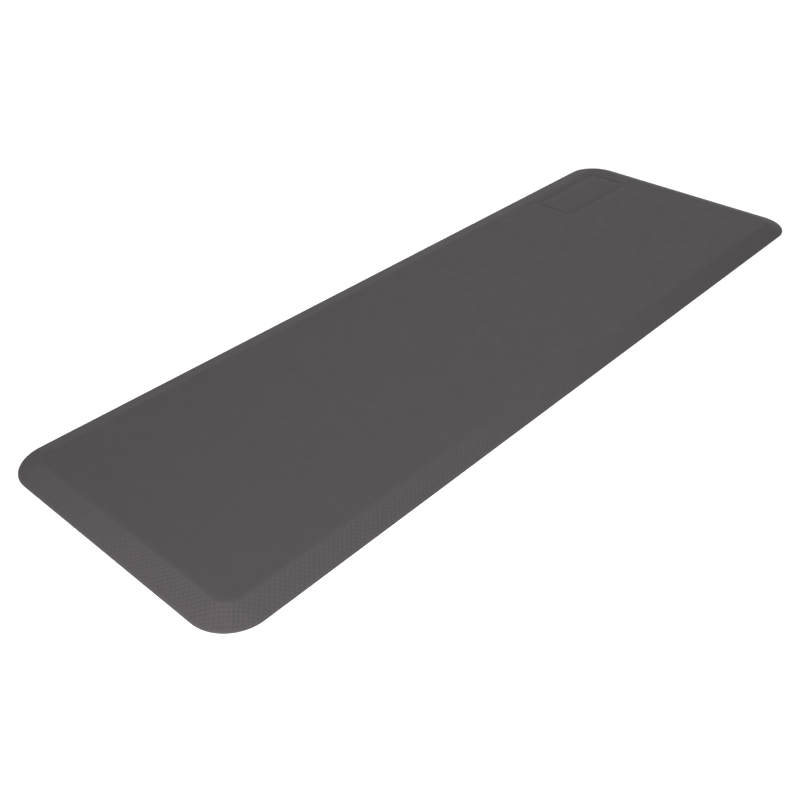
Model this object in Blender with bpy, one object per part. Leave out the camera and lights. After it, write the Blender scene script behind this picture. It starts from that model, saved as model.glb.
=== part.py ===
"""An anti-fatigue mat: a moulded wear skin over a foam core, closed below by a non-slip base skin.

Metres, +Z up. The origin is on the floor under the mat's centre, the length runs along X and
the width along Y. Every section is given by its inset from the outer outline and its height.
"""

import math

import bmesh
import bpy

# Overall size: 24 by 72 by 3/4 inches
LENGTH = 1.8288
WIDTH = 0.6096
THICKNESS = 0.019
CORNER_RADIUS = 0.076

# The ramp that runs down from the standing surface to the floor on all four sides
LIP_HEIGHT = 0.002
RAMP_WIDTH = 0.046
RAMP_BULGE = 0.08
CREASE_BLEND = 0.0016
CREASE_REACH = 1.2

RAMP_SLOPE = (THICKNESS - LIP_HEIGHT) / RAMP_WIDTH

# The layers
SKIN_THICKNESS = 0.0016
RIM_WIDTH = 0.008
BASE_THICKNESS = 0.0014
GAP = 0.0003

# The blank panel outline sunk in the standing surface, in the far corner at +X and +Y
PANEL_LENGTH = 0.256
PANEL_WIDTH = 0.104
PANEL_TO_END = 0.094
PANEL_TO_SIDE = 0.073
PANEL_RADIUS = 0.012
GROOVE_WIDTH = 0.003
GROOVE_DEPTH = 0.0005
GROOVE_CLEARANCE = 0.002

CORNER_STEPS = 14
PANEL_CORNER_STEPS = 5
RAMP_STEPS = 4
CREASE_STEPS = 6

SMOOTH_ANGLE = math.radians(30)

# The materials, with linear colours
SKIN_COLOR = (0.098, 0.090, 0.092, 1.0)
SKIN_ROUGHNESS = 0.72
FOAM_COLOR = (0.130, 0.124, 0.120, 1.0)
FOAM_ROUGHNESS = 0.90
BASE_COLOR = (0.045, 0.043, 0.043, 1.0)
BASE_ROUGHNESS = 0.85


def clear_scene():
    for old in list(bpy.data.objects):
        bpy.data.objects.remove(old, do_unlink=True)


def make_material(name, color, roughness):
    """A matte, non-metallic Principled material."""
    material = bpy.data.materials.new(name)
    material.use_nodes = True
    shader = material.node_tree.nodes["Principled BSDF"]
    shader.inputs["Base Color"].default_value = color
    shader.inputs["Roughness"].default_value = roughness
    shader.inputs["Metallic"].default_value = 0.0
    material.diffuse_color = color
    return material


def ramp_height(inset):
    """The height of the outer surface: a slightly crowned ramp, blended into the flat top."""
    crown = 1.0 + RAMP_BULGE * (1.0 - inset / RAMP_WIDTH)
    ramp = LIP_HEIGHT + RAMP_SLOPE * inset * crown
    share = 0.5 + 0.5 * (THICKNESS - ramp) / CREASE_BLEND
    share = min(max(share, 0.0), 1.0)
    blended = THICKNESS * (1.0 - share) + ramp * share
    return blended - CREASE_BLEND * share * (1.0 - share)


def ramp_insets(start):
    """The insets at which the ramp is sampled, from start to the edge of the flat top."""
    blend_half = CREASE_BLEND / RAMP_SLOPE
    crease_start = RAMP_WIDTH - blend_half
    crease_end = RAMP_WIDTH + CREASE_REACH * blend_half
    insets = [start + (crease_start - start) * i / RAMP_STEPS for i in range(RAMP_STEPS)]
    for i in range(CREASE_STEPS + 1):
        insets.append(crease_start + (crease_end - crease_start) * i / CREASE_STEPS)
    return insets


def rounded_rectangle(length, width, radius, steps, center=(0.0, 0.0)):
    """Points of a rounded rectangle, counter-clockwise seen from above."""
    half_x = length / 2 - radius
    half_y = width / 2 - radius
    corners = ((half_x, half_y), (-half_x, half_y), (-half_x, -half_y), (half_x, -half_y))
    points = []
    for quarter, (corner_x, corner_y) in enumerate(corners):
        for step in range(steps + 1):
            angle = math.pi / 2 * (quarter + step / steps)
            x = center[0] + corner_x + radius * math.cos(angle)
            y = center[1] + corner_y + radius * math.sin(angle)
            points.append((x, y))
    return points


def mat_outline(inset):
    """The mat's outline, moved inwards by the inset."""
    return rounded_rectangle(
        LENGTH - 2 * inset, WIDTH - 2 * inset, CORNER_RADIUS - inset, CORNER_STEPS
    )


def add_ring(mesh, outline, height):
    return [mesh.verts.new((x, y, height)) for x, y in outline]


def bridge(mesh, lower, upper):
    """Faces between two rings with the same number of points."""
    count = len(lower)
    for i in range(count):
        j = (i + 1) % count
        mesh.faces.new((lower[i], lower[j], upper[j], upper[i]))


def loft(sections, closed):
    """A mesh through rings given as (outline, height).

    An open loft gets a flat face on its first and last ring. A closed one runs back from its
    last ring to its first, as a hollow body does.
    """
    mesh = bmesh.new()
    rings = [add_ring(mesh, outline, height) for outline, height in sections]
    for lower, upper in zip(rings, rings[1:]):
        bridge(mesh, lower, upper)
    if closed:
        bridge(mesh, rings[-1], rings[0])
    else:
        mesh.faces.new(reversed(rings[0]))
        mesh.faces.new(rings[-1])
    bmesh.ops.recalc_face_normals(mesh, faces=mesh.faces[:])
    return mesh


def finish_object(name, mesh, material):
    """Turn a bmesh into a named object with smooth shading across its shallow bends."""
    data = bpy.data.meshes.new(name)
    mesh.to_mesh(data)
    mesh.free()
    data.materials.append(material)
    data.shade_smooth()
    data.set_sharp_from_angle(angle=SMOOTH_ANGLE)
    made = bpy.data.objects.new(name, data)
    bpy.context.scene.collection.objects.link(made)
    return made


def panel_cutter(material):
    """The tool that cuts the blank panel's outline: a closed frame of rectangular section."""
    length = PANEL_LENGTH - 2 * GROOVE_WIDTH
    width = PANEL_WIDTH - 2 * GROOVE_WIDTH
    center = (
        LENGTH / 2 - PANEL_TO_END - PANEL_LENGTH / 2,
        WIDTH / 2 - PANEL_TO_SIDE - PANEL_WIDTH / 2,
    )
    outer = rounded_rectangle(
        PANEL_LENGTH, PANEL_WIDTH, PANEL_RADIUS, PANEL_CORNER_STEPS, center
    )
    inner = rounded_rectangle(
        length, width, PANEL_RADIUS - GROOVE_WIDTH, PANEL_CORNER_STEPS, center
    )
    low = THICKNESS - GROOVE_DEPTH
    high = THICKNESS + GROOVE_CLEARANCE
    mesh = loft([(outer, low), (outer, high), (inner, high), (inner, low)], closed=True)
    cutter = finish_object("panel_cutter", mesh, material)
    cutter.hide_render = True
    cutter.display_type = "WIRE"
    return cutter


def make_top_skin():
    """The wear skin: flat top, ramps and rim in one moulding, open underneath.

    Its section runs from the middle of the hollow, out and down to the rim's foot, and back
    up over the ramp to the flat top.
    """
    hollow = [(inset, ramp_height(inset) - SKIN_THICKNESS) for inset in ramp_insets(RIM_WIDTH)]
    rim = [(RIM_WIDTH, 0.0), (0.0, 0.0)]
    ramp = [(inset, ramp_height(inset)) for inset in ramp_insets(0.0)]
    section = hollow[::-1] + rim + ramp
    mesh = loft([(mat_outline(inset), height) for inset, height in section], closed=False)
    material = make_material("moulded_skin", SKIN_COLOR, SKIN_ROUGHNESS)
    skin = finish_object("top_skin", mesh, material)

    groove = skin.modifiers.new("panel_groove", "BOOLEAN")
    groove.operation = "DIFFERENCE"
    groove.solver = "EXACT"
    groove.object = panel_cutter(material)
    return skin


def make_foam_core():
    """The foam that fills the skin, from the base up to the skin's underside."""
    edge = RIM_WIDTH + GAP
    sections = [(mat_outline(edge), BASE_THICKNESS + GAP)]
    for inset in ramp_insets(edge):
        height = ramp_height(inset) - SKIN_THICKNESS - GAP
        sections.append((mat_outline(inset), height))
    mesh = loft(sections, closed=False)
    material = make_material("core_foam", FOAM_COLOR, FOAM_ROUGHNESS)
    return finish_object("foam_core", mesh, material)


def make_base_skin():
    """The non-slip sheet that closes the underside, let in flush inside the skin's rim."""
    outline = mat_outline(RIM_WIDTH + GAP)
    mesh = loft([(outline, 0.0), (outline, BASE_THICKNESS)], closed=False)
    material = make_material("grip_skin", BASE_COLOR, BASE_ROUGHNESS)
    return finish_object("base_skin", mesh, material)


clear_scene()
make_top_skin()
make_foam_core()
make_base_skin()
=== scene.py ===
"""The looks of the anti-fatigue mat: moulded surfaces, procedural materials, light and camera.

Metres, +Z up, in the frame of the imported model. The origin is on the floor under the mat's
centre, the length runs along X and the width along Y. The camera stands beyond the corner at
-X and -Y. Sections are given by their inset from the mat's outer outline and their height.
"""

import math

import bmesh
import bpy
import numpy as np
from mathutils import Matrix, Vector
from mathutils.geometry import delaunay_2d_cdt


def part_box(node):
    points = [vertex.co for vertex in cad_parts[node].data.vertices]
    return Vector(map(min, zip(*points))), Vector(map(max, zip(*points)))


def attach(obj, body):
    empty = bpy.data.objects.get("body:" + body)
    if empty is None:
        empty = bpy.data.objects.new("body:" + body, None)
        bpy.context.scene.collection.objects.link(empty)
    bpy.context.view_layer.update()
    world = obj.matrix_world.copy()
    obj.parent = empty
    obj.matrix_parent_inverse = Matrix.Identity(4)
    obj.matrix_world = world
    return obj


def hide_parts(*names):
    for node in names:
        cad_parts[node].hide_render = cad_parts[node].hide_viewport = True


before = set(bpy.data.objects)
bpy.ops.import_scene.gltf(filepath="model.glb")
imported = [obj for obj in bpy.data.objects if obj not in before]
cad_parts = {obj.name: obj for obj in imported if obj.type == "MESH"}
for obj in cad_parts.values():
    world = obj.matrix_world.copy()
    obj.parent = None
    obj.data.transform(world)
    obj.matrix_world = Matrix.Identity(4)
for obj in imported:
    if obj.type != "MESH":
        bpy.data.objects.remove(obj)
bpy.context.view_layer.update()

skin_low, skin_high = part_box("top_skin")
base_low, base_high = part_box("base_skin")

# Sizes that the frame gives
LENGTH = skin_high[0] - skin_low[0]
WIDTH = skin_high[1] - skin_low[1]
THICKNESS = skin_high[2]
BASE_THICKNESS = base_high[2]
BASE_INSET = base_low[0] - skin_low[0]

# Sizes shared with the CAD model
CORNER_RADIUS = 0.076
LIP_HEIGHT = 0.002
RAMP_WIDTH = 0.046
RAMP_BULGE = 0.08
CREASE_BLEND = 0.0016
CREASE_REACH = 1.2
SKIN_THICKNESS = 0.0016
RIM_WIDTH = 0.008
GAP = 0.0003
RAMP_SLOPE = (THICKNESS - LIP_HEIGHT) / RAMP_WIDTH
CREASE_HALF = CREASE_BLEND / RAMP_SLOPE
CREASE_START = RAMP_WIDTH - CREASE_HALF
CREASE_END = RAMP_WIDTH + CREASE_REACH * CREASE_HALF

PANEL_LENGTH = 0.256
PANEL_WIDTH = 0.104
PANEL_TO_END = 0.094
PANEL_TO_SIDE = 0.073
PANEL_RADIUS = 0.012

# Sections as (inset, height or depth): the rounded lip at the floor, and the panel's groove
LIP_SECTION = ((0.0005, 0.0), (0.0, 0.0005), (0.0, 0.0013), (0.0003, 0.0019))
LIP_END = 0.0011
GROOVE_SECTION = (
    (0.0, 0.0),
    (0.0004, 0.0002),
    (0.0008, 0.0004),
    (0.0015, 0.0005),
    (0.0022, 0.0004),
    (0.0026, 0.0002),
    (0.0030, 0.0),
)

# The outline's segments. A ring may use only every second or fourth station, so these are
# multiples of 4.
LONG_SEGMENTS = 996
SHORT_SEGMENTS = 272
CORNER_SEGMENTS = 64
MESH_STEP = (LENGTH - 2 * CORNER_RADIUS) / LONG_SEGMENTS
SMOOTH_STRIDE = 2
COARSE_STRIDE = 4

# The panel's segments along its length, along its width and round each corner
PANEL_SEGMENTS = (44, 16, 10)

# The rings across a blend or a hidden ramp, and the point spacing of hidden flat faces
CREASE_RINGS = 7
UNSEEN_RAMP_RINGS = 5
UNSEEN_GRID = 0.06
FOAM_GRID = 0.04
MERGE_DISTANCE = 1e-7

# The moulded lattice on the ramps. Its lines pass through the mesh's own points.
LATTICE_PITCH = 6 * MESH_STEP
LATTICE_LINE = 0.27
LATTICE_DEPTH = 0.00040
LATTICE_FIRST = 0.0025
LATTICE_FADE = 0.003

# The soft unevenness of the flat top
WAVE_DEPTH = 0.00012
WAVE_FADE_END = 0.120
WAVE_PITCH_X = 0.31
WAVE_PITCH_Y = 0.23
WAVE_PHASE = 0.7
WAVE_DRIFT = 1.3
WAVE_DRIFT_PITCH = 0.47

# The flat top's mesh: its outer ring, its grid, and how far the grid keeps from its borders
PLATEAU_EDGE = CREASE_END + 0.0025
PLATEAU_GRID = 0.022
PLATEAU_CLEARANCE = 0.010
PANEL_CLEARANCE = 0.008

# The grip pattern under the base skin
GRIP_PITCH = 0.0184
GRIP_DEPTH = 0.0004
GRIP_LINE = 0.26
GRIP_BORDER = 0.006
GRIP_STEP = GRIP_PITCH / 4
GRIP_CORNER_STEPS = 16

# The grain and mottling of the materials, in cells or waves for each metre
PEBBLE_SCALE = 640.0
GRAIN_SCALE = 1500.0
SPECK_SCALE = 520.0
MOTTLE_SCALE = 7.0
RUB_SCALE = 16.0
SHEEN_SCALE = 38.0
PORE_SCALE = 620.0
CELL_SCALE = 210.0
FOAM_STAIN_SCALE = 90.0
DUST_SCALE = 26.0
GRIP_MOTTLE_SCALE = 9.0
GRIP_SHEEN_SCALE = 45.0
GRIP_GRAIN_SCALE = 1100.0

# Where the ramps' paler colour, partly their own tone and partly painted light and sheen, fades
# into the top's, how far a rubbed crease reaches, and the height in the underside's grooves at
# which dust begins
RAMP_PAINTED_LIGHT_FADE = 0.004
RUB_REACH = 0.006
DUST_START = 0.00005

# The largest share of each colour that is laid over another
# The share of painted shade at the bottom of a lattice groove
GROOVE_SHADE_SHARE = 0.62
SPECK_SHARE = 0.24
# The share of painted shade between the pebbles
PEBBLE_SHADE_SHARE = 0.20
RUB_SHARE = 0.07
DUST_SHARE = 0.5

# The least and greatest roughness, and the specular level
SKIN_ROUGHNESS = (0.72, 0.78)
SKIN_SPECULAR = 0.18
FOAM_ROUGHNESS = (0.86, 0.96)
FOAM_SPECULAR = 0.15
GRIP_ROUGHNESS = (0.72, 0.88)
GRIP_SPECULAR = 0.3
FLOOR_ROUGHNESS = 0.9
FLOOR_SPECULAR = 0.1

SMOOTH_ANGLE = math.radians(50)

# Linear colours
SKIN_DARK = (0.0382, 0.0332, 0.0346, 1.0)
SKIN_LIGHT = (0.0390, 0.0340, 0.0354, 1.0)
# The ramps' colour: partly their own paler tone, partly painted light and sheen that the bevels
# catch
RAMP_TONE_AND_PAINTED_LIGHT = (0.0488, 0.0428, 0.0444, 1.0)
# Painted shade in the lattice's grooves
GROOVE_SHADE_COLOR = (0.0295, 0.0258, 0.0269, 1.0)
# Painted shade between the skin's pebbles
PEBBLE_SHADE_COLOR = (0.0260, 0.0226, 0.0236, 1.0)
SPECK_COLOR = (0.0533, 0.0475, 0.0492, 1.0)
RUBBED_COLOR = (0.0500, 0.0450, 0.0462, 1.0)
FOAM_PORE = (0.0300, 0.0290, 0.0290, 1.0)
FOAM_WALL = (0.1300, 0.1240, 0.1200, 1.0)
GRIP_DARK = (0.0340, 0.0325, 0.0325, 1.0)
GRIP_LIGHT = (0.0440, 0.0420, 0.0420, 1.0)
DUST_COLOR = (0.1200, 0.1150, 0.1080, 1.0)
FLOOR_COLOR = (0.95, 0.95, 0.95, 1.0)
SKY_COLOR = (1.0, 1.0, 1.0, 1.0)

# The camera: a lens of about 45 mm, a good metre above the floor beyond the near corner
CAMERA_PLACE = (-1.429, -1.125, 1.096)
CAMERA_YAW = math.radians(-47.18)
CAMERA_PITCH = math.radians(35.41)
CAMERA_ROLL = math.radians(-0.60)
CAMERA_LENS = 44.6
CAMERA_SENSOR = 36.0
CAMERA_REACH = 100.0

# The lights. A sun has the direction it comes from and its strength; a softbox has its place,
# the point it faces and its power.
SUNS = (
    ("back_key", (0.60, 0.60, 0.80), 1.30),
    ("end_key", (0.90, 0.10, 0.60), 0.87),
)
SUN_SPREAD = math.radians(70)
SOFTBOXES = (
    ("low_fill", (-2.20, -0.90, 0.35), (-0.80, -0.30, 0.0), 46.0),
    ("corner_fill", (-1.75, -1.05, 0.75), (-0.80, -0.30, 0.0), 9.0),
    ("side_fill", (-0.30, -0.50, 1.20), (-0.20, -0.20, 0.0), 7.0),
)
SOFTBOX_SIZE = 0.7

# The sky's strength at the horizon, overhead, and where the camera sees it
SKY_HORIZON = 0.07
SKY_ZENITH = 1.02
SKY_SEEN = 1.1

FLOOR_SIZE = 60.0
FLOOR_DROP = 0.0002


def smoothstep(low, high, value):
    """0 below low, 1 above high, and a smooth rise between them."""
    share = np.clip((value - low) / (high - low), 0.0, 1.0)
    return share * share * (3.0 - 2.0 * share)


def ramp_height(inset):
    """The height of the outer surface: a slightly crowned ramp, blended into the flat top."""
    crown = 1.0 + RAMP_BULGE * (1.0 - inset / RAMP_WIDTH)
    ramp = LIP_HEIGHT + RAMP_SLOPE * inset * crown
    share = np.clip(0.5 + 0.5 * (THICKNESS - ramp) / CREASE_BLEND, 0.0, 1.0)
    return THICKNESS * (1.0 - share) + ramp * share - CREASE_BLEND * share * (1.0 - share)


def lattice(x, y, pitch, line):
    """1 on the lines of a lattice at 45 degrees to the mat's sides, and 0 between them.

    line is half the width of a line as a share of the distance between lines.
    """
    rising = (x + y) / pitch
    falling = (x - y) / pitch
    to_rising = np.abs(rising - np.round(rising))
    to_falling = np.abs(falling - np.round(falling))
    return 1.0 - smoothstep(0.0, line, np.minimum(to_rising, to_falling))


class RoundedBox:
    """A rectangle with round corners, and the stations along its outline."""

    def __init__(self, length, width, radius, center=(0.0, 0.0)):
        self.half = np.array([length / 2 - radius, width / 2 - radius])
        self.radius = radius
        self.center = np.array(center)

    def depth(self, x, y):
        """How far a point lies inside the outline."""
        out_x = np.abs(x - self.center[0]) - self.half[0]
        out_y = np.abs(y - self.center[1]) - self.half[1]
        outside = np.hypot(np.maximum(out_x, 0.0), np.maximum(out_y, 0.0))
        inside = np.minimum(np.maximum(out_x, out_y), 0.0)
        return self.radius - outside - inside

    def place_stations(self, long_segments, short_segments, corner_segments):
        """Spreads stations round the outline, counter-clockwise from the +X side."""
        outward = []
        cores = []
        signs = ((1, 1), (-1, 1), (-1, -1), (1, -1))
        for quarter, sign in enumerate(signs):
            core = self.half * sign
            next_core = self.half * signs[(quarter + 1) % 4]
            turn = math.pi / 2 * (quarter + np.arange(corner_segments) / corner_segments)
            outward.append(np.column_stack([np.cos(turn), np.sin(turn)]))
            cores.append(np.tile(core, (corner_segments, 1)))
            segments = short_segments if quarter % 2 else long_segments
            share = np.arange(segments)[:, None] / segments
            end = math.pi / 2 * (quarter + 1)
            outward.append(np.tile([math.cos(end), math.sin(end)], (segments, 1)))
            cores.append(core + (next_core - core) * share)
        self.outward = np.concatenate(outward)
        self.cores = np.concatenate(cores) + self.center
        return self

    def ring(self, inset, stride=1):
        """The outline's stations, moved inwards, or every second or fourth of them."""
        places = self.cores + self.outward * (self.radius - inset)
        return places[::stride]


class Surface:
    """Collects points and the faces between them."""

    def __init__(self):
        self.blocks = []
        self.hollows = []
        self.count = 0
        self.faces = []

    def add(self, places, height, hollow=0.0):
        """Adds points at one height, or at one height each, and returns their numbers.

        hollow is 1 for points at the bottom of a moulded line, and 0 beside it.
        """
        heights = np.broadcast_to(height, len(places))
        self.blocks.append(np.column_stack([places, heights]))
        self.hollows.append(np.broadcast_to(hollow, len(places)))
        self.count += len(places)
        return list(range(self.count - len(places), self.count))

    def bridge(self, first, second):
        """Faces between two closed rings. One may have a multiple of the other's points."""
        coarse, fine = sorted((first, second), key=len)
        share = len(fine) // len(coarse)
        for i in range(len(coarse)):
            run = [fine[(i * share + k) % len(fine)] for k in range(share + 1)]
            self.faces.append([coarse[i], *run, coarse[(i + 1) % len(coarse)]])

    def loft(self, rings):
        for first, second in zip(rings, rings[1:]):
            self.bridge(first, second)

    def fill(self, ring, inner, hole=(), hole_box=None):
        """Triangles inside a convex ring, through inner points and round a hole."""
        numbers = [*ring, *inner, *hole]
        places = np.concatenate(self.blocks)[numbers][:, :2]
        edges = closed_edges(0, len(ring)) + closed_edges(len(ring) + len(inner), len(hole))
        flat = [Vector(place) for place in places]
        _, _, triangles, sources, _, _ = delaunay_2d_cdt(flat, edges, [], 0, MERGE_DISTANCE)
        for triangle in triangles:
            corners = [sources[corner][0] for corner in triangle]
            middle = places[corners].mean(axis=0)
            if hole_box is None or hole_box.depth(*middle) < 0.0:
                self.faces.append([numbers[corner] for corner in corners])

    def points(self):
        return np.concatenate(self.blocks)


def closed_edges(start, count):
    return [(start + i, start + (i + 1) % count) for i in range(count)]


def grid_inside(box, edge, spacing):
    """Points of a square grid that lie deeper than edge inside a rounded box."""
    reach = box.half + box.radius
    steps = np.floor(reach / spacing).astype(int)
    x = (np.arange(-steps[0], steps[0] + 1) * spacing) + box.center[0]
    y = (np.arange(-steps[1], steps[1] + 1) * spacing) + box.center[1]
    grid_x, grid_y = (axis.ravel() for axis in np.meshgrid(x, y))
    keep = box.depth(grid_x, grid_y) > edge
    return np.column_stack([grid_x[keep], grid_y[keep]])


mat = RoundedBox(LENGTH, WIDTH, CORNER_RADIUS)
mat.place_stations(LONG_SEGMENTS, SHORT_SEGMENTS, CORNER_SEGMENTS)
panel_center = (
    LENGTH / 2 - PANEL_TO_END - PANEL_LENGTH / 2,
    WIDTH / 2 - PANEL_TO_SIDE - PANEL_WIDTH / 2,
)
panel = RoundedBox(PANEL_LENGTH, PANEL_WIDTH, PANEL_RADIUS, panel_center)
panel.place_stations(*PANEL_SEGMENTS)


def plateau_height(places):
    """The flat top's height, with the slight unevenness of foam cured in a mould."""
    x, y = places[:, 0], places[:, 1]
    drift = WAVE_DRIFT * np.sin(2 * math.pi * y / WAVE_DRIFT_PITCH)
    along = np.sin(2 * math.pi * x / WAVE_PITCH_X + drift)
    across = np.cos(2 * math.pi * y / WAVE_PITCH_Y + WAVE_PHASE)
    wave = 0.5 + 0.5 * along * across
    fade = smoothstep(CREASE_END, WAVE_FADE_END, mat.depth(x, y))
    return THICKNESS - WAVE_DEPTH * wave * fade


def lattice_rows():
    """Insets of the ramp's rings, set so that the lattice's lines meet the mesh's points."""
    half_rows = math.floor((WIDTH / 2 - LATTICE_FIRST) / MESH_STEP)
    first = WIDTH / 2 - half_rows * MESH_STEP
    count = math.ceil((CREASE_START - first) / MESH_STEP)
    return first + MESH_STEP * np.arange(count)


def moulded_ring(surface, inset):
    """A ring of the ramp with the lattice sunk in it."""
    places = mat.ring(inset)
    lines = lattice(places[:, 0], places[:, 1], LATTICE_PITCH, LATTICE_LINE)
    lower_fade = smoothstep(LATTICE_FIRST, LATTICE_FIRST + LATTICE_FADE, inset)
    upper_fade = 1.0 - smoothstep(CREASE_START - LATTICE_FADE, CREASE_START, inset)
    hollow = lines * lower_fade * upper_fade
    return surface.add(places, ramp_height(inset) - LATTICE_DEPTH * hollow, hollow)


def build_hollow(surface):
    """The skin's underside, over the foam, down to the inner edge of the rim's foot."""
    insets = np.concatenate([
        np.linspace(CREASE_END, CREASE_START, CREASE_RINGS),
        np.linspace(CREASE_START, RIM_WIDTH, UNSEEN_RAMP_RINGS)[1:],
    ])
    rings = [
        surface.add(mat.ring(inset, COARSE_STRIDE), ramp_height(inset) - SKIN_THICKNESS)
        for inset in insets
    ]
    rings.append(surface.add(mat.ring(RIM_WIDTH, COARSE_STRIDE), 0.0))
    surface.loft(rings)
    middle = grid_inside(mat, CREASE_END + UNSEEN_GRID / 2, UNSEEN_GRID)
    surface.fill(rings[0], surface.add(middle, THICKNESS - SKIN_THICKNESS))
    return rings[-1]


def build_lip(surface):
    """The rounded lip at the floor."""
    section = (*LIP_SECTION, (LIP_END, ramp_height(LIP_END)))
    return [surface.add(mat.ring(inset, SMOOTH_STRIDE), height) for inset, height in section]


def build_groove(surface):
    """The blank panel's outline: a shallow round-bottomed groove. Returns its outer ring."""
    rings = []
    for inset, depth in GROOVE_SECTION:
        places = panel.ring(inset)
        rings.append(surface.add(places, plateau_height(places) - depth))
    surface.loft(rings)
    inside = grid_inside(panel, GROOVE_SECTION[-1][0] + PANEL_CLEARANCE, PLATEAU_GRID)
    surface.fill(rings[-1], surface.add(inside, plateau_height(inside)))
    return rings[0]


def build_top_skin():
    """The moulded wear skin, from its hollow underside over the lip and ramps to the top."""
    surface = Surface()
    foot = build_hollow(surface)
    ramp = [moulded_ring(surface, inset) for inset in lattice_rows()]
    crease = [
        surface.add(mat.ring(inset, SMOOTH_STRIDE), ramp_height(inset))
        for inset in np.linspace(CREASE_START + MESH_STEP / 2, CREASE_END, CREASE_RINGS)
    ]
    edge_places = mat.ring(PLATEAU_EDGE, COARSE_STRIDE)
    edge = surface.add(edge_places, plateau_height(edge_places))
    surface.loft([foot, *build_lip(surface), *ramp, *crease, edge])

    groove = build_groove(surface)
    inner = grid_inside(mat, PLATEAU_EDGE + PLATEAU_CLEARANCE, PLATEAU_GRID)
    inner = inner[panel.depth(inner[:, 0], inner[:, 1]) < -PANEL_CLEARANCE]
    middle = surface.add(inner, plateau_height(inner))
    surface.fill(edge, middle, groove, panel)
    return surface


def build_foam_core():
    """The foam that fills the skin, with its wedge under the ramps."""
    surface = Surface()
    edge = RIM_WIDTH + GAP
    below = BASE_THICKNESS + GAP
    insets = np.concatenate([
        np.linspace(edge, CREASE_START, UNSEEN_RAMP_RINGS)[:-1],
        np.linspace(CREASE_START, CREASE_END, CREASE_RINGS),
    ])
    rings = [surface.add(mat.ring(edge, COARSE_STRIDE), below)]
    for inset in insets:
        height = ramp_height(inset) - SKIN_THICKNESS - GAP
        rings.append(surface.add(mat.ring(inset, COARSE_STRIDE), height))
    surface.loft(rings)
    middle = grid_inside(mat, CREASE_END + FOAM_GRID / 2, FOAM_GRID)
    surface.fill(rings[-1], surface.add(middle, THICKNESS - SKIN_THICKNESS - GAP))
    surface.fill(rings[0], surface.add(middle, below))
    return surface


def base_columns(box, spacing):
    """The X and half width of the base grid's columns, which lie closer round the corners."""
    turn = np.linspace(0.0, math.pi / 2, GRIP_CORNER_STEPS + 1)[1:]
    straight = np.linspace(-box.half[0], box.half[0], round(2 * box.half[0] / spacing) + 1)
    end_x = box.half[0] + box.radius * np.sin(turn)
    end_y = box.half[1] + box.radius * np.cos(turn)
    x = np.concatenate([-end_x[::-1], straight, end_x])
    flank = np.full(len(straight), box.half[1] + box.radius)
    return x, np.concatenate([end_y[::-1], flank, end_y])


def build_base_skin():
    """The base sheet, with low diamond pads that grip the floor."""
    surface = Surface()
    box = RoundedBox(LENGTH - 2 * BASE_INSET, WIDTH - 2 * BASE_INSET, CORNER_RADIUS - BASE_INSET)
    x, half_width = base_columns(box, GRIP_STEP)
    rows = 2 * round(box.half[1] / GRIP_STEP) + 1
    share = np.linspace(-1.0, 1.0, rows)
    grid_x = np.repeat(x, rows)
    grid_y = (half_width[:, None] * share).ravel()
    lines = lattice(grid_x, grid_y, GRIP_PITCH, GRIP_LINE)
    fade = smoothstep(GRIP_BORDER, 2 * GRIP_BORDER, box.depth(grid_x, grid_y))
    places = np.column_stack([grid_x, grid_y])
    under = np.array(surface.add(places, GRIP_DEPTH * lines * fade)).reshape(len(x), rows)
    for column, next_column in zip(under, under[1:]):
        for j in range(rows - 1):
            corners = (column[j], column[j + 1], next_column[j + 1], next_column[j])
            surface.faces.append([int(corner) for corner in corners])
    border = np.concatenate([
        under[:-1, 0], under[-1, :-1], under[:0:-1, -1], under[0, :0:-1],
    ]).tolist()
    upper_places = surface.points()[border][:, :2]
    upper = surface.add(upper_places, BASE_THICKNESS)
    surface.bridge(border, upper)
    middle = grid_inside(box, UNSEEN_GRID / 3, UNSEEN_GRID)
    surface.fill(upper, surface.add(middle, BASE_THICKNESS))
    return surface


def store(data, name, values):
    """Keeps one number for each point, for the materials to read."""
    attribute = data.attributes.new(name, "FLOAT", "POINT")
    attribute.data.foreach_set("value", values.astype(np.float32))


def make_piece(name, surface, material, node):
    """Turns a surface into a shown piece that stands for a CAD node."""
    points = surface.points()
    data = bpy.data.meshes.new(name)
    data.from_pydata(points.tolist(), [], surface.faces)
    mesh = bmesh.new()
    mesh.from_mesh(data)
    bmesh.ops.recalc_face_normals(mesh, faces=mesh.faces[:])
    mesh.to_mesh(data)
    mesh.free()
    store(data, "inset", mat.depth(points[:, 0], points[:, 1]))
    store(data, "hollow", np.concatenate(surface.hollows))
    data.materials.append(material)
    data.shade_smooth()
    data.set_sharp_from_angle(angle=SMOOTH_ANGLE)
    piece = bpy.data.objects.new(name, data)
    bpy.context.scene.collection.objects.link(piece)
    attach(piece, "root")
    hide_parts(node)
    return piece


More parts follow.
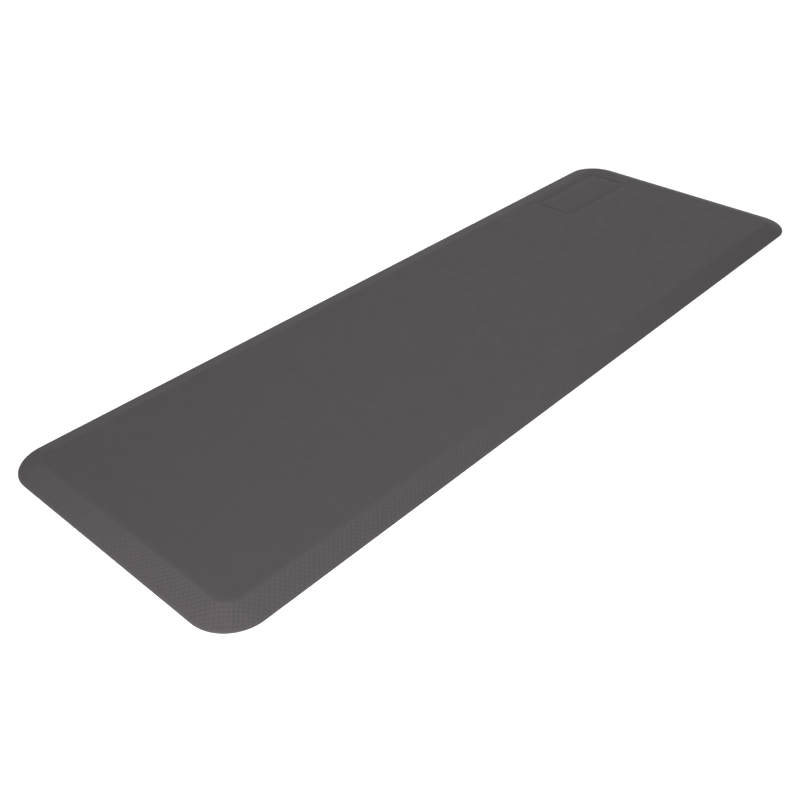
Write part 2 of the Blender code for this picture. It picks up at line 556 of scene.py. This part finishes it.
class Nodes:
    """A material's node tree, with short calls to add and join nodes."""

    def __init__(self, name):
        self.material = bpy.data.materials.new(name)
        self.material.use_nodes = True
        self.tree = self.material.node_tree
        self.shader = self.tree.nodes["Principled BSDF"]
        self.place = self.add("ShaderNodeTexCoord").outputs["Object"]

    def add(self, kind, **inputs):
        """Adds a node. Each named input gets a value or a link."""
        node = self.tree.nodes.new(kind)
        for name, value in inputs.items():
            self.feed(node.inputs[name], value)
        return node

    def feed(self, socket, value):
        """Gives a socket a value, or a link from another socket."""
        if isinstance(value, bpy.types.NodeSocket):
            self.tree.links.new(value, socket)
        else:
            socket.default_value = value

    def shade(self, name, value):
        """Feeds a socket of the material's shader."""
        self.feed(self.shader.inputs[name], value)

    def noise(self, scale, detail=2.0, roughness=0.5):
        """Soft random patches, from 0 to 1."""
        node = self.add("ShaderNodeTexNoise", Scale=scale, Detail=detail, Roughness=roughness)
        self.feed(node.inputs["Vector"], self.place)
        return node.outputs["Fac"]

    def cells(self, scale):
        """The distance to the middle of the nearest cell."""
        node = self.add("ShaderNodeTexVoronoi", Scale=scale)
        self.feed(node.inputs["Vector"], self.place)
        return node.outputs["Distance"]

    def span(self, value, low, high, to_low=0.0, to_high=1.0, smooth=False):
        """Maps a value from one range to another, and stops at its ends."""
        node = self.add("ShaderNodeMapRange")
        node.interpolation_type = "SMOOTHSTEP" if smooth else "LINEAR"
        names = ("Value", "From Min", "From Max", "To Min", "To Max")
        for name, number in zip(names, (value, low, high, to_low, to_high)):
            self.feed(node.inputs[name], number)
        return node.outputs["Result"]

    def math(self, operation, first, second=0.0):
        node = self.add("ShaderNodeMath")
        node.operation = operation
        for socket, value in zip(node.inputs, (first, second)):
            self.feed(socket, value)
        return node.outputs[0]

    def mix(self, share, first, second):
        """A colour between two colours."""
        node = self.add("ShaderNodeMix")
        node.data_type = "RGBA"
        colors = [socket for socket in node.inputs if socket.type == "RGBA"]
        for socket, value in zip((node.inputs["Factor"], *colors), (share, first, second)):
            self.feed(socket, value)
        return next(socket for socket in node.outputs if socket.type == "RGBA")

    def bump(self, height, distance, strength, under=None):
        """Fine relief, laid over the relief under it if there is one."""
        node = self.add("ShaderNodeBump", Height=height, Distance=distance, Strength=strength)
        if under is not None:
            self.feed(node.inputs["Normal"], under)
        return node.outputs["Normal"]

    def stored(self, name):
        """A number kept with each point of the mesh."""
        node = self.add("ShaderNodeAttribute")
        node.attribute_name = name
        return node.outputs["Fac"]


def skin_material():
    """Matte moulded polyurethane: pebbled grain with painted shade between the pebbles, faint
    mottling, ramps paler partly in their own tone and partly with painted light and sheen,
    painted shade in the lattice's grooves, and rubbed edges.
    """
    nodes = Nodes("moulded_skin_look")
    inset = nodes.stored("inset")
    # The ramps get a paler colour, partly their own tone and partly painted light and sheen
    fade_start = CREASE_START - RAMP_PAINTED_LIGHT_FADE
    fade_end = CREASE_START + RAMP_PAINTED_LIGHT_FADE
    on_ramp = nodes.span(inset, fade_start, fade_end, to_low=1.0, to_high=0.0, smooth=True)
    mottle = nodes.noise(MOTTLE_SCALE, detail=4.0, roughness=0.6)
    speck = nodes.noise(SPECK_SCALE, detail=3.0, roughness=0.65)

    top = nodes.mix(nodes.span(mottle, 0.35, 0.65), SKIN_DARK, SKIN_LIGHT)
    # Painted shade in the lattice's grooves, read from the points' hollow value
    groove_shade = nodes.span(nodes.stored("hollow"), 0.0, 1.0, to_high=GROOVE_SHADE_SHARE)
    ramp = nodes.mix(groove_shade, RAMP_TONE_AND_PAINTED_LIGHT, GROOVE_SHADE_COLOR)
    color = nodes.mix(on_ramp, top, ramp)
    color = nodes.mix(nodes.span(speck, 0.3, 0.75, to_high=SPECK_SHARE), color, SPECK_COLOR)
    pebble = nodes.cells(PEBBLE_SCALE)
    # Painted shade between the pebbles: darker towards the borders of the grain's cells
    pebble_shade = nodes.span(pebble, 0.30, 0.70, to_high=PEBBLE_SHADE_SHARE)
    color = nodes.mix(pebble_shade, color, PEBBLE_SHADE_COLOR)

    from_crease = nodes.math("ABSOLUTE", nodes.math("SUBTRACT", inset, RAMP_WIDTH))
    crease = nodes.span(from_crease, 0.0, RUB_REACH, to_low=1.0, to_high=0.0, smooth=True)
    patches = nodes.noise(RUB_SCALE, detail=5.0, roughness=0.7)
    rubbed = nodes.math("MULTIPLY", crease, nodes.span(patches, 0.3, 0.8, to_high=RUB_SHARE))
    nodes.shade("Base Color", nodes.mix(rubbed, color, RUBBED_COLOR))

    sheen = nodes.noise(SHEEN_SCALE, detail=5.0, roughness=0.6)
    rough = nodes.span(sheen, 0.3, 0.7, *SKIN_ROUGHNESS)
    nodes.shade("Roughness", nodes.math("SUBTRACT", rough, rubbed))
    pebbles = nodes.bump(pebble, distance=0.0004, strength=0.42)
    grain = nodes.noise(GRAIN_SCALE, detail=3.0, roughness=0.6)
    nodes.shade("Normal", nodes.bump(grain, distance=0.0003, strength=0.40, under=pebbles))
    nodes.shade("Specular IOR Level", SKIN_SPECULAR)
    return nodes.material


def foam_material():
    """Cut-cell polyurethane foam: fine open cells in a charcoal body."""
    nodes = Nodes("core_foam_look")
    pores = nodes.cells(PORE_SCALE)
    coarse = nodes.cells(CELL_SCALE)
    depth = nodes.math("MULTIPLY", pores, coarse)
    nodes.shade("Base Color", nodes.mix(nodes.span(depth, 0.0, 0.35), FOAM_PORE, FOAM_WALL))
    stain = nodes.noise(FOAM_STAIN_SCALE)
    nodes.shade("Roughness", nodes.span(stain, 0.3, 0.7, *FOAM_ROUGHNESS))
    walls = nodes.bump(pores, distance=0.0006, strength=0.5)
    nodes.shade("Normal", nodes.bump(coarse, distance=0.0010, strength=0.35, under=walls))
    nodes.shade("Specular IOR Level", FOAM_SPECULAR)
    return nodes.material


def grip_material():
    """The rubbery underside: darker, with dust caught in the grooves between its pads."""
    nodes = Nodes("grip_skin_look")
    height = nodes.add("ShaderNodeSeparateXYZ", Vector=nodes.place).outputs["Z"]
    in_groove = nodes.span(height, DUST_START, GRIP_DEPTH, to_high=DUST_SHARE)
    dust_patches = nodes.span(nodes.noise(DUST_SCALE, detail=5.0), 0.35, 0.7, to_low=0.3)
    dust = nodes.math("MULTIPLY", in_groove, dust_patches)
    base = nodes.mix(nodes.noise(GRIP_MOTTLE_SCALE, detail=4.0), GRIP_DARK, GRIP_LIGHT)
    nodes.shade("Base Color", nodes.mix(dust, base, DUST_COLOR))
    sheen = nodes.noise(GRIP_SHEEN_SCALE, detail=4.0)
    nodes.shade("Roughness", nodes.span(sheen, 0.3, 0.7, *GRIP_ROUGHNESS))
    grain = nodes.cells(GRIP_GRAIN_SCALE)
    nodes.shade("Normal", nodes.bump(grain, distance=0.0002, strength=0.25))
    nodes.shade("Specular IOR Level", GRIP_SPECULAR)
    return nodes.material


def make_camera():
    """Yaw turns the view about +Z from +Y, pitch tips it down, and roll turns the picture."""
    forward = Vector((
        -math.sin(CAMERA_YAW) * math.cos(CAMERA_PITCH),
        math.cos(CAMERA_YAW) * math.cos(CAMERA_PITCH),
        -math.sin(CAMERA_PITCH),
    ))
    level = Vector((math.cos(CAMERA_YAW), math.sin(CAMERA_YAW), 0.0))
    upright = level.cross(forward)
    right = level * math.cos(CAMERA_ROLL) + upright * math.sin(CAMERA_ROLL)
    up = upright * math.cos(CAMERA_ROLL) - level * math.sin(CAMERA_ROLL)
    turn = Matrix((right, up, -forward)).transposed().to_4x4()
    data = bpy.data.cameras.new("camera")
    data.sensor_width = CAMERA_SENSOR
    data.lens = CAMERA_LENS
    data.clip_end = CAMERA_REACH
    camera = bpy.data.objects.new("camera", data)
    camera.matrix_world = Matrix.Translation(CAMERA_PLACE) @ turn
    bpy.context.scene.collection.objects.link(camera)
    bpy.context.scene.camera = camera


def aim(light, place, target):
    """Puts a light at a place and turns it towards a target."""
    light.location = place
    toward = Vector(target) - Vector(place)
    light.rotation_euler = toward.to_track_quat("-Z", "Y").to_euler()
    bpy.context.scene.collection.objects.link(light)


def make_lights():
    """Two broad soft suns behind the mat, and softboxes over it and by its near corner."""
    for name, place, strength in SUNS:
        sun = bpy.data.lights.new(name, "SUN")
        sun.energy = strength
        sun.angle = SUN_SPREAD
        aim(bpy.data.objects.new(name, sun), place, (0.0, 0.0, 0.0))
    for name, place, target, power in SOFTBOXES:
        softbox = bpy.data.lights.new(name, "AREA")
        softbox.size = SOFTBOX_SIZE
        softbox.energy = power
        lamp = bpy.data.objects.new(name, softbox)
        lamp.visible_camera = False
        aim(lamp, place, target)


def make_sky():
    """A white sky that darkens towards the horizon, in front of a plain white background."""
    world = bpy.data.worlds.new("studio")
    world.use_nodes = True
    bpy.context.scene.world = world
    tree = world.node_tree
    place = tree.nodes.new("ShaderNodeTexCoord")
    split = tree.nodes.new("ShaderNodeSeparateXYZ")
    level = tree.nodes.new("ShaderNodeMapRange")
    level.inputs["To Min"].default_value = SKY_HORIZON
    level.inputs["To Max"].default_value = SKY_ZENITH
    tree.links.new(place.outputs["Generated"], split.inputs["Vector"])
    tree.links.new(split.outputs["Z"], level.inputs["Value"])
    path = tree.nodes.new("ShaderNodeLightPath")
    seen = tree.nodes.new("ShaderNodeMix")
    seen.inputs["B"].default_value = SKY_SEEN
    tree.links.new(path.outputs["Is Camera Ray"], seen.inputs["Factor"])
    tree.links.new(level.outputs["Result"], seen.inputs["A"])
    tree.links.new(seen.outputs["Result"], tree.nodes["Background"].inputs["Strength"])
    tree.nodes["Background"].inputs["Color"].default_value = SKY_COLOR


def make_floor():
    """A plain pale floor just under the mat."""
    data = bpy.data.meshes.new("floor")
    half = FLOOR_SIZE / 2
    corners = [(-half, -half, 0.0), (half, -half, 0.0), (half, half, 0.0), (-half, half, 0.0)]
    data.from_pydata(corners, [], [(0, 1, 2, 3)])
    material = bpy.data.materials.new("floor_paint")
    material.use_nodes = True
    shader = material.node_tree.nodes["Principled BSDF"]
    shader.inputs["Base Color"].default_value = FLOOR_COLOR
    shader.inputs["Roughness"].default_value = FLOOR_ROUGHNESS
    shader.inputs["Specular IOR Level"].default_value = FLOOR_SPECULAR
    data.materials.append(material)
    floor = bpy.data.objects.new("floor", data)
    floor.location.z = -FLOOR_DROP
    bpy.context.scene.collection.objects.link(floor)


make_camera()
make_piece("mat_top_skin", build_top_skin(), skin_material(), "top_skin")
foam = make_piece("mat_foam_core", build_foam_core(), foam_material(), "foam_core")
make_piece("mat_base_skin", build_base_skin(), grip_material(), "base_skin")
make_floor()
make_lights()
make_sky()
bpy.context.scene.view_settings.view_transform = "Standard"
